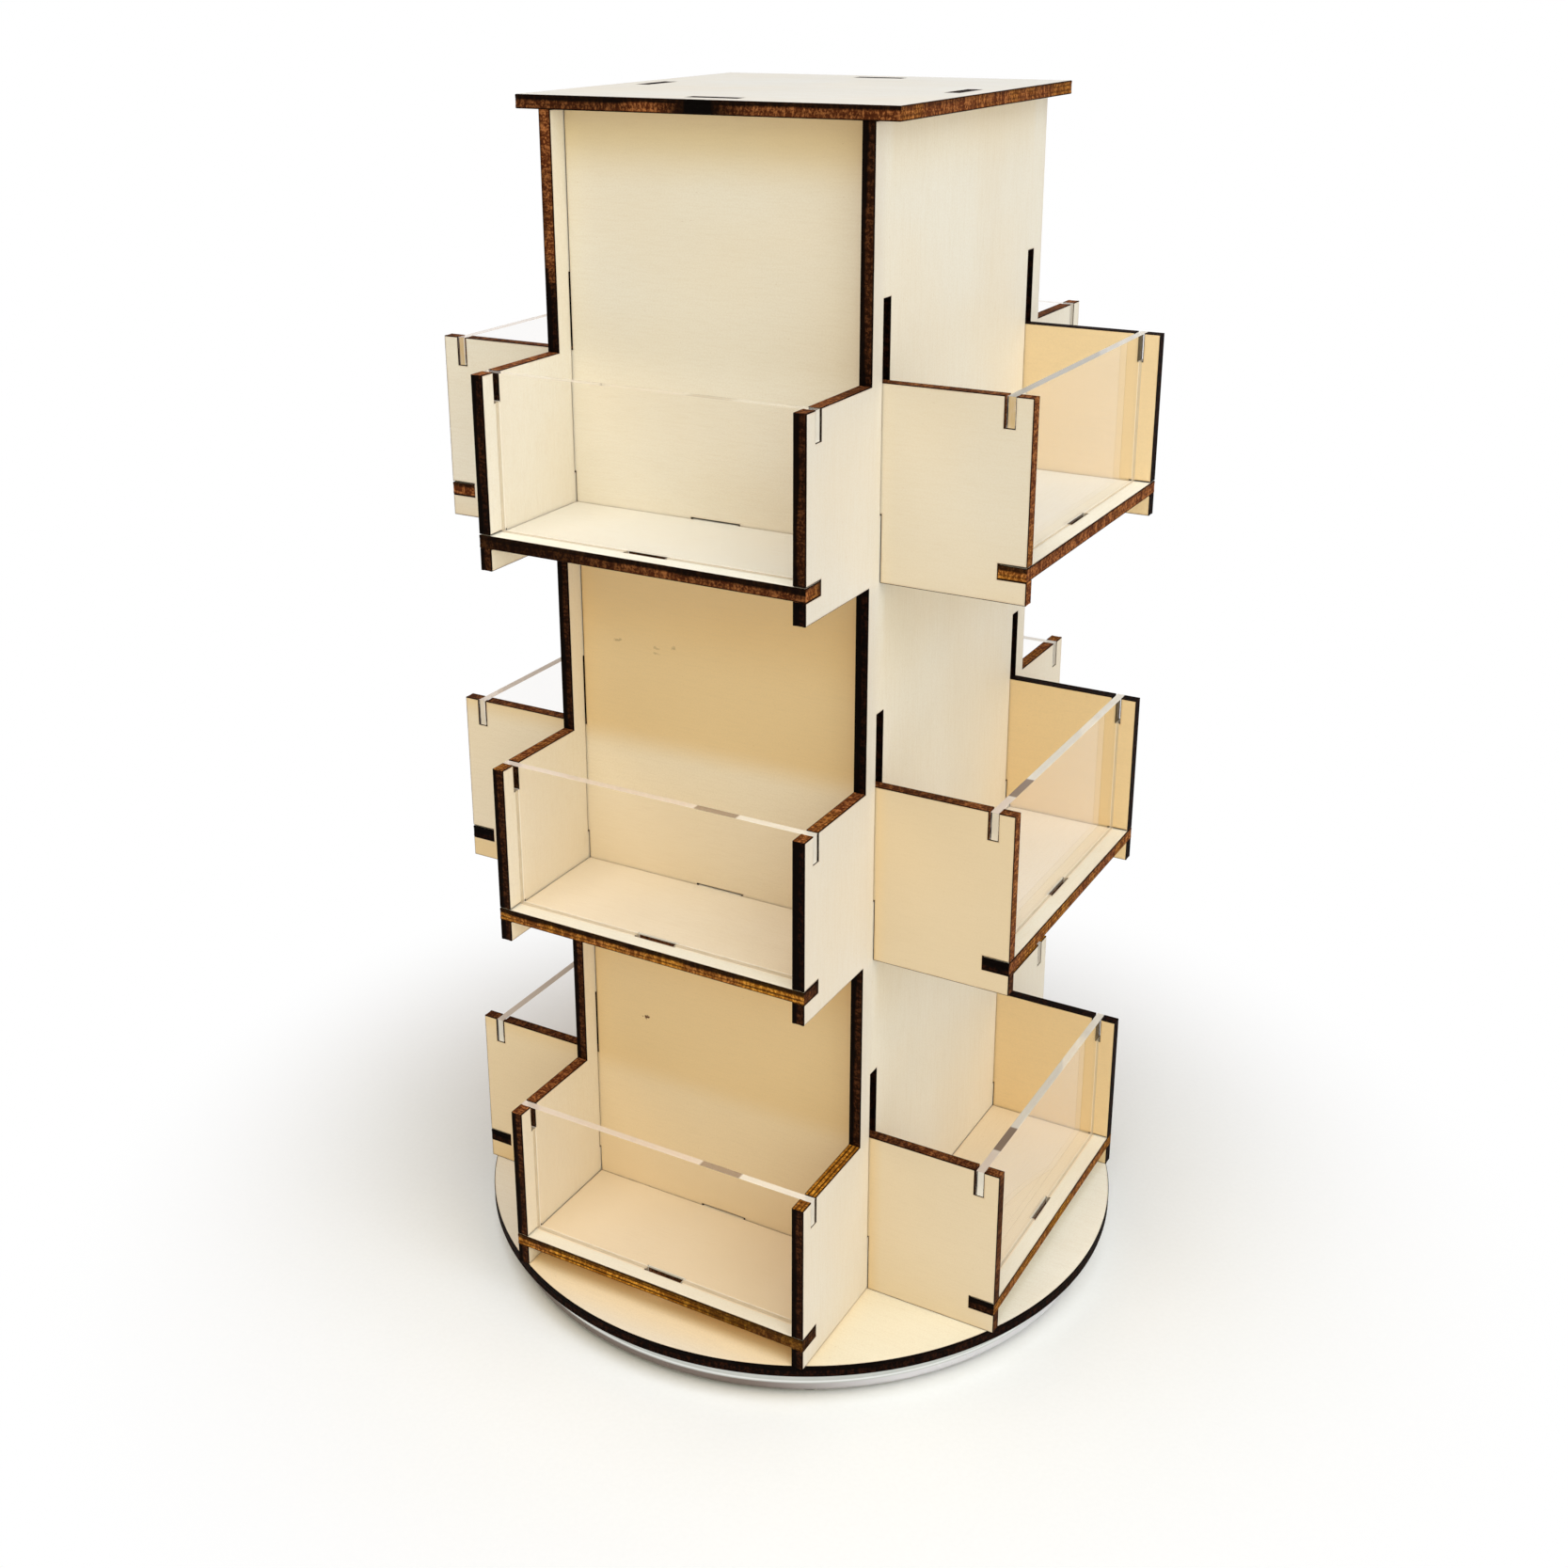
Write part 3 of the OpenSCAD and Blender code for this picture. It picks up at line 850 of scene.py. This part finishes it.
def spots_of(node):
    """Middles of a node's separate solids, seen from above."""
    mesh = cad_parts[node].data
    owner = list(range(len(mesh.vertices)))

    def root(i):
        while owner[i] != i:
            owner[i] = owner[owner[i]]
            i = owner[i]
        return i

    same = {}
    for vertex in mesh.vertices:
        key = tuple(round(c / SNAP) for c in vertex.co)
        owner[root(vertex.index)] = root(same.setdefault(key, vertex.index))
    for edge in mesh.edges:
        owner[root(edge.vertices[0])] = root(edge.vertices[1])
    groups = {}
    for vertex in mesh.vertices:
        groups.setdefault(root(vertex.index), []).append(vertex.co)
    middles = []
    for group in groups.values():
        xs, ys = [c.x for c in group], [c.y for c in group]
        middles.append(((min(xs) + max(xs)) / 2, (min(ys) + max(ys)) / 2))
    return sorted(middles)


def outer_ring(low, high, angle):
    """Section of the outer ring: rounded outside, with the balls' groove inside."""
    rim, bore, bottom, top = high.x, high.x - RING_WIDTH, low.z, high.z
    half_groove = math.degrees(math.acos((bore - BALL_CIRCLE) / GROOVE))
    return [
        (bore, bottom + RING_CHAMFER), (bore + RING_CHAMFER, bottom),
        *arc((rim - RING_FOOT, bottom + RING_FOOT), RING_FOOT, -90, 0),
        *arc((rim - RING_ROUND, top - RING_ROUND), RING_ROUND, 0, 90),
        (bore + RING_CHAMFER, top), (bore, top - RING_CHAMFER),
        *arc((BALL_CIRCLE, BALL_HEIGHT), GROOVE, half_groove, -half_groove),
    ]


def foot(low, high, angle):
    """Section of a rubber foot with a rounded sole."""
    return [(0, low.z), *arc((FOOT_RADIUS - FOOT_ROUND, low.z + FOOT_ROUND), FOOT_ROUND, -90, 0),
            (FOOT_RADIUS, high.z), (0, high.z)]


def nut(low, high, angle):
    """Section of a hexagon nut whose corners are chamfered on both faces."""
    half = NUT_WIDTH / 2
    rim = half / math.cos((angle + math.pi / 6) % (math.pi / 3) - math.pi / 6)
    drop = (rim - half * NUT_FACE) * NUT_SLOPE
    bore = SCREW_RADIUS + NUT_PLAY
    return [(bore, low.z), (half * NUT_FACE, low.z), (rim, low.z + drop), (rim, high.z - drop),
            (half * NUT_FACE, high.z), (bore, high.z)]


def screw(low, high, angle):
    """Section of a countersunk screw, head down, with a rolled thread."""
    head, shank = SCREW_HEAD / 2, SCREW_RADIUS
    outline = [(0, low.z), (head - HEAD_CHAMFER, low.z), (head, low.z + HEAD_CHAMFER),
               (shank, low.z + head - shank), (shank, low.z + THREAD_START - THREAD_LEAD)]
    height = low.z + THREAD_START
    while height < high.z - SCREW_POINT:
        turn = (height / THREAD_PITCH - angle / math.tau) % 1
        outline.append((shank - THREAD_DEPTH * abs(2 * turn - 1), height))
        height += THREAD_PITCH / THREAD_ROWS
    return outline + [(shank - SCREW_POINT, high.z), (0, high.z)]


# Build

VENEER_FACE = veneer("pale_veneer", VENEER)
CUT_EDGE = cut_edge()
PANE_FACE = acrylic_face()
PANE_EDGE = acrylic_edge()

# The two ways over a board's veneer
ALONG, ACROSS = 0, 1
# Marks on the front wall in mm: across it, height, radius, and then depth
FRONT_MARKS = (
    (-21.8, 68.3, 0.35, 1.0), (-27.0, 166.8, 0.28, 0.35), (-16.7, 166.6, 0.25, 0.25),
    (-11.8, 167.3, 0.25, 0.3), (-16.9, 165.3, 0.3, 0.25),
)
# Just beyond the column's half width, where the ears begin, and how much painted light lies on
# the walls of the front pockets
EARS = 41 * MM
POCKET_PAINTED_LIGHT = (0.3, 0.6, 0.6)
front_shift = sheet_shift("front_wall")
FRONT_FACE = veneer("marked_veneer", VENEER, [
    (across * MM + front_shift.x, height * MM + front_shift.y, radius * MM, depth)
    for across, height, radius, depth in FRONT_MARKS
], lit_and_shaded(
    "front_wall",
    # Painted warm shade towards the right, and painted shade on the right ears
    ([(ALONG, -10 * MM, 45 * MM)], srgb(220, 188, 138), 0.25),
    ([(ALONG, 38 * MM, 44 * MM)], srgb(212, 203, 188), 0.45),
    # Painted light behind the clear fronts, and on the low right ear
    *[([(ACROSS, level - MM, level + MM), (ACROSS, level + 40 * MM, level + 32 * MM),
        (ALONG, EARS, EARS - 3 * MM)], VENEER_LIT, share)
      for level, share in zip(TIER_FLOORS, POCKET_PAINTED_LIGHT)],
    ([(ALONG, EARS, EARS + 3 * MM), (ACROSS, 75 * MM, 65 * MM)], VENEER_LIT, 0.15),
))
# Painted shade on the front ears, most on the upper two
SHADED_FRONT_EARS = (ACROSS, -38 * MM, -44 * MM)
RIGHT_FACE = veneer("right_veneer", VENEER, light_and_shade=lit_and_shaded(
    "right_wall",
    ([SHADED_FRONT_EARS], srgb(212, 206, 202), 0.3),
    ([SHADED_FRONT_EARS, (ALONG, 65 * MM, 95 * MM)], srgb(214, 206, 196), 0.3),
))
DISC_FACE = veneer("disc_veneer", VENEER, light_and_shade=lit_and_shaded(
    "turntable_disc",
    # Painted warm light in front of the column, and painted amber shade close under the shelf there
    ([(ACROSS, -86 * MM, -72 * MM), (ALONG, -46 * MM, -36 * MM), (ALONG, 46 * MM, 36 * MM)],
     srgb(255, 230, 189), 1.0),
    ([(ACROSS, -73 * MM, -65 * MM), (ALONG, -42 * MM, -36 * MM), (ALONG, 42 * MM, 36 * MM)],
     srgb(250, 202, 134), 1.0),
    # Painted light beyond the right shelf, and painted shade at the front right corner
    ([(ALONG, 52 * MM, 64 * MM), (ACROSS, -43 * MM, -37 * MM)], srgb(255, 250, 236), 1.0),
    ([(ALONG, 38 * MM, 41 * MM), (ACROSS, -38 * MM, -41 * MM)], srgb(238, 229, 200), 0.6),
))
# The shelves of the lower tiers take painted light, those of the top tier painted shade
LIT_SHELF_FACE = veneer("lower_shelf_veneer", VENEER_LIT)
SHELF_FACES = {"low": LIT_SHELF_FACE, "mid": LIT_SHELF_FACE,
               "top": veneer("top_shelf_veneer", VENEER_SHADED)}

# Above this height the column's left front edge is brown
COLUMN_BROWN = TIER_FLOORS[2] + 52 * MM
# Of each wall: its axis and grain, how its two faces are toned, partly by the wood's own colour
# and partly by painted warm shade, how much painted warm shade its foot takes, how lightly its
# edges are burnt, with painted light on those that face the lamps, how black they are, the face at
# which they are black, its veneer
WALLS = {
    "front_wall": (Y, X, (0.05, 0.2), 0.95,
                   {"up": (0.20, 0.25, 0.22, 0.0), "right": (0.16, 0.46, 0.46)},
                   {}, 1, FRONT_FACE),
    "back_wall": (Y, X, (0.85, 0.2), 0.1, {"up": 0.0, "right": 0.0}, {}, 1, VENEER_FACE),
    "left_wall": (X, Z, (0.2, 0.0), 0.2,
                  {"up": (0.35, 0.50, 0.42, 0.0),
                   "front": turning(COLUMN_BROWN, (0.12, 0.08, 0.04), 0.34)},
                  {"front": turning(COLUMN_BROWN, 1.0, 0.35)}, -1, VENEER_FACE),
    "right_wall": (X, Z, (0.2, 0.0), 0.1,
                   {"up": (0.85, 0.50, 0.25, 0.0), "front": (0.08, 0.0, 0.09)},
                   {"front": (1.0, 1.3, 1.0)}, -1, RIGHT_FACE),
}
for node, (axis, grain, tones_and_shades, foot_shade, embers_and_light, blacks, burnt, faces) in WALLS.items():
    plywood(node, axis, grain, tones_and_shades, foot_shade, embers_and_light, blacks, burnt, faces=faces)
plate_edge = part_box("top_plate")[0]
# The top plate's face takes the painted sheen
plywood("top_plate", Z, X, (0.3, 0.0), embers_and_light={"front": 0.24, "right": 0.5},
        blacks={"front": 0.7, "right": 0.35}, faces=veneer("plate_sheen_veneer", VENEER_PLATE_SHEEN),
        scorches=[((0.0, plate_edge.y, plate_edge.z), 11 * MM, 1.0)])
plywood("turntable_disc", Z, X, (0.04, 0.04), embers_and_light={"front": 0.02, "right": 0.02, "other": 0.02},
        blacks={"front": 0.8, "right": 0.5, "other": 0.5}, faces=DISC_FACE)

# Painted warm shade on each tier's shelves, most on the low tier
SHELF_WARM_SHADES = {"low": 0.42, "mid": 0.2, "top": 0.0}
# How lightly the noses of the front shelves and those of the others are burnt, then the right ends
# of the front shelves and the front ends of the left and right ones: partly the char's own colour
# and partly painted light, most golden on the low noses, which the round board below lights
FRONT_NOSES = {"low": 0.85, "mid": 0.62, "top": 0.2}
OTHER_NOSES = {"low": 0.7, "mid": 0.55, "top": 0.42}
RIGHT_ENDS = {"low": 0.22, "mid": 0.15, "top": 0.5}
FRONT_ENDS = {"right": {"low": 0.08, "mid": 0.0, "top": 0.7},
              "left": {"low": 0.05, "mid": 0.0, "top": 0.45}}
# How black the front shelves' noses are at their tops, and the ends of the left and right shelves
NOSE_BLACKS = {"low": 0.6, "mid": 1.0, "top": 1.2}
END_BLACKS = {"low": 1.0, "mid": 1.4, "top": 0.6}
# Black places on the front shelves, radius and most: so far behind the nose on the right end, and
# round one corner of the low and of the top nose
SCORCH_BEHIND = 8.3 * MM
END_SCORCH = 5.5 * MM, 1.0
LOW_SCORCH = 42 * MM, 0.7
TOP_SCORCH = 50 * MM, 0.85
# How lightly the walls of the slots in a shelf are burnt, how black they are at their tops, and
# how far down the painted light on their upper part reaches
SHELF_SLOT = 0.2
SLOT_BLACK = 0.4
SLOT_PAINTED_LIGHT = {"low": 0.6 * MM, "mid": 0.45 * MM, "top": 0.25 * MM}
# Where the painted shade of the tabs of the clear fronts lies on their top edges, and how clear
# these are
TABS_SEEN = {"front": 16 * MM, "right": -25 * MM, "back": 0.0, "left": 0.0}
TAB_UNSEEN = -1.0
TOP_CLEAR = {"low": 0.25, "mid": 0.25, "top": 0.75}
SIDE_CLEAR = {"low": 0.3, "mid": 0.2, "top": 0.5}
# How much painted amber of the wood behind tints the front ends of the side panes
AMBER_ENDS = {"low": 0.0, "mid": 0.4, "top": 1.0}


# A shelf's burns are partly painted light, on edges that face the lamps
def shelf_burns(tier, side):
    """How lightly a shelf's edges are burnt, how black they are, and its black places."""
    embers_and_light, blacks, scorches = {"slot": SHELF_SLOT}, {"slot": SLOT_BLACK}, []
    if side == "front":
        embers_and_light.update(front=FRONT_NOSES[tier], right=RIGHT_ENDS[tier])
        blacks.update(front=NOSE_BLACKS[tier], right=0.4)
        low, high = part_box(f"{tier}_front_shelf")
        scorches.append(((high.x, low.y + SCORCH_BEHIND, high.z), *END_SCORCH))
        if tier == "low":
            scorches.append(((high.x, low.y, high.z), *LOW_SCORCH))
        if tier == "top":
            scorches.append((low, *TOP_SCORCH))
    elif side == "back":
        embers_and_light.update(other=OTHER_NOSES[tier])
    else:
        nose = "right" if side == "right" else "other"
        embers_and_light.update({"front": FRONT_ENDS[side][tier], nose: OTHER_NOSES[tier]})
        blacks.update(front=END_BLACKS[tier])
    return embers_and_light, blacks, scorches


for tier in TIERS:
    for side in SIDES:
        along, across = (Y, X) if side in ("left", "right") else (X, Y)
        tone_and_shade = SHELF_WARM_SHADES[tier]
        embers_and_light, blacks, scorches = shelf_burns(tier, side)
        plywood(f"{tier}_{side}_shelf", Z, along, (tone_and_shade, tone_and_shade), embers_and_light=embers_and_light, blacks=blacks,
                faces=SHELF_FACES[tier], scorches=scorches, outward=OUTWARD[side],
                pale=SLOT_PAINTED_LIGHT[tier])
        clear_front(f"{tier}_{side}_pane", across,
                    TAB_UNSEEN if (tier, side) == ("top", "right") else TABS_SEEN[side],
                    TOP_CLEAR[tier] if side == "front" else SIDE_CLEAR[tier],
                    side, AMBER_ENDS[tier])

ALUMINIUM = turned_metal("turned_aluminium", srgb(196, 199, 198), 0.3, 3000)
# The outer ring takes painted reflections and a painted glint
RING = turned_metal("ring_aluminium", srgb(198, 201, 198), 0.3, 3000, painted_reflections=True)
STEEL = turned_metal("ball_steel", srgb(190, 192, 196), 0.12, 500)
ZINC = turned_metal("zinc_steel", srgb(186, 186, 190), 0.35, 1500)
RUBBER = moulded("foot_rubber", srgb(128, 124, 122), srgb(150, 146, 142), 0.75, 2500)
NYLON = moulded("cage_nylon", srgb(228, 226, 214), srgb(206, 200, 182), 0.45, 1500)

for node, section, count, centres, material, body, slot in (
    ("bearing_outer_ring", outer_ring, 240, [(0, 0)], RING, "base", "ring_aluminium"),
    ("rubber_feet", foot, 48, spots_of("rubber_feet"), RUBBER, "base", "foot_rubber"),
    ("ring_screws", screw, 24, spots_of("ring_screws"), ZINC, "rack", "screw_steel"),
    ("screw_nuts", nut, 48, spots_of("screw_nuts"), ZINC, "rack", "screw_steel"),
):
    piece(node + "_turned", lathe(node, section, count, centres), [material], body, slot, node)
for node, material in (
    ("bearing_inner_ring", ALUMINIUM),
    ("bearing_balls", STEEL),
    ("ball_cage", NYLON),
):
    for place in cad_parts[node].material_slots:
        place.material = material


# Floor, lights and camera

# Distances from the rack's axis between which the floor turns plain white
FLOOR_FADE = 0.085, 0.20
FLOOR_HALF = 40.0
WHITE = (1, 1, 1, 1)
WORLD_LIGHT = (0.235, 0.190, 0.145, 1)


def white_floor():
    """Pale floor that keeps the shadow near the rack and is plain white further out."""
    p = Paint("pale_floor")
    place = p.node("TexCoord").outputs["Object"]
    away = p.node("VectorMath", {0: place}, operation="LENGTH").outputs["Value"]
    grain = p.noise(place, 900, detail=2)
    colour = p.mix(p.spread(grain, 0.0, 1.0), srgb(248, 248, 248), srgb(250, 250, 250))
    plain = p.shader(Base_Color=colour, Roughness=0.8, Specular_IOR_Level=0.1)
    white = p.node("Emission", {"Color": WHITE, "Strength": 1.0})
    far = p.maths("MULTIPLY", p.seen(), p.band(away, *FLOOR_FADE))
    return p.finish(p.node("MixShader", {0: far, 1: plain.outputs[0], 2: white.outputs[0]}))


def studio():
    """World that lights the rack dimly and is plain white where it is seen."""
    p = Paint("studio", world=True)
    light = p.node("Background", {"Color": p.mix(p.seen(), WORLD_LIGHT, WHITE)})
    return p.finish(light, "OutputWorld")


bpy.context.scene.world = studio()
floor_mesh = bpy.data.meshes.new("floor")
floor_mesh.from_pydata([(-FLOOR_HALF, -FLOOR_HALF, 0), (FLOOR_HALF, -FLOOR_HALF, 0),
                        (FLOOR_HALF, FLOOR_HALF, 0), (-FLOOR_HALF, FLOOR_HALF, 0)],
                       [], [(0, 1, 2, 3)])
floor_mesh.materials.append(white_floor())
floor = bpy.data.objects.new("floor", floor_mesh)
bpy.context.scene.collection.objects.link(floor)


def lamp(name, place, aim, size, watts, colour):
    """A soft square lamp that faces a point."""
    light = bpy.data.lights.new(name, "AREA")
    light.shape = "SQUARE"
    light.size = size
    light.energy = watts
    light.color = colour
    made = bpy.data.objects.new(name, light)
    made.location = place
    made.rotation_euler = (Vector(place) - Vector(aim)).to_track_quat("Z", "Y").to_euler()
    bpy.context.scene.collection.objects.link(made)


# The point that the lamps face, and their colours
MIDDLE = (0, 0, 0.14)
DAYLIGHT = (0.84, 0.90, 1.0)
PALE_GREEN = (0.95, 0.98, 0.92)
YELLOW_GREEN = (0.95, 1.0, 0.78)
WARM = (1.0, 0.93, 0.74)
lamp("overhead_lamp", (0.0, -0.35, 1.6), MIDDLE, 1.2, 12.3, DAYLIGHT)
lamp("right_lamp", (1.1, -0.2, 1.3), MIDDLE, 1.0, 8.6, DAYLIGHT)
lamp("side_lamp", (1.5, -0.5, 0.4), MIDDLE, 1.0, 4.3, PALE_GREEN)
lamp("corner_lamp", (0.8, -1.15, 0.9), MIDDLE, 1.2, 7.2, YELLOW_GREEN)
lamp("front_lamp", (-0.2, -1.1, 1.3), MIDDLE, 1.0, 3.2, WARM)

# The photograph's camera, found from points on the rack: place, turn, tilt and roll, and in
# pixels of the photograph's width its focal length and the point straight ahead of it
PHOTO_PIXELS = 1667
EYE = Vector((207.555, -387.015, 314.624)) * MM
YAW, PITCH, ROLL = (math.radians(a) for a in (-30.200, -19.499, -0.470))
FOCAL_PIXELS = 2026.5
CENTRE_PIXEL = Vector((785.9, 680.0))
SENSOR = 36
NEAREST, FURTHEST = 0.01, 200

camera_data = bpy.data.cameras.new("camera")
camera_data.sensor_width = SENSOR
camera_data.lens = FOCAL_PIXELS / PHOTO_PIXELS * camera_data.sensor_width
camera_data.shift_x = 0.5 - CENTRE_PIXEL.x / PHOTO_PIXELS
camera_data.shift_y = CENTRE_PIXEL.y / PHOTO_PIXELS - 0.5
camera_data.clip_start, camera_data.clip_end = NEAREST, FURTHEST
camera = bpy.data.objects.new("camera", camera_data)
ahead = Vector((math.sin(YAW) * math.cos(PITCH), math.cos(YAW) * math.cos(PITCH), math.sin(PITCH)))
right = Vector((math.cos(YAW), -math.sin(YAW), 0))
up = right.cross(ahead)
right, up = (math.cos(ROLL) * right + math.sin(ROLL) * up,
             math.cos(ROLL) * up - math.sin(ROLL) * right)
camera.matrix_world = Matrix.Translation(EYE) @ Matrix((right, up, -ahead)).transposed().to_4x4()
bpy.context.scene.collection.objects.link(camera)
bpy.context.scene.camera = camera
bpy.context.scene.view_settings.view_transform = "Standard"
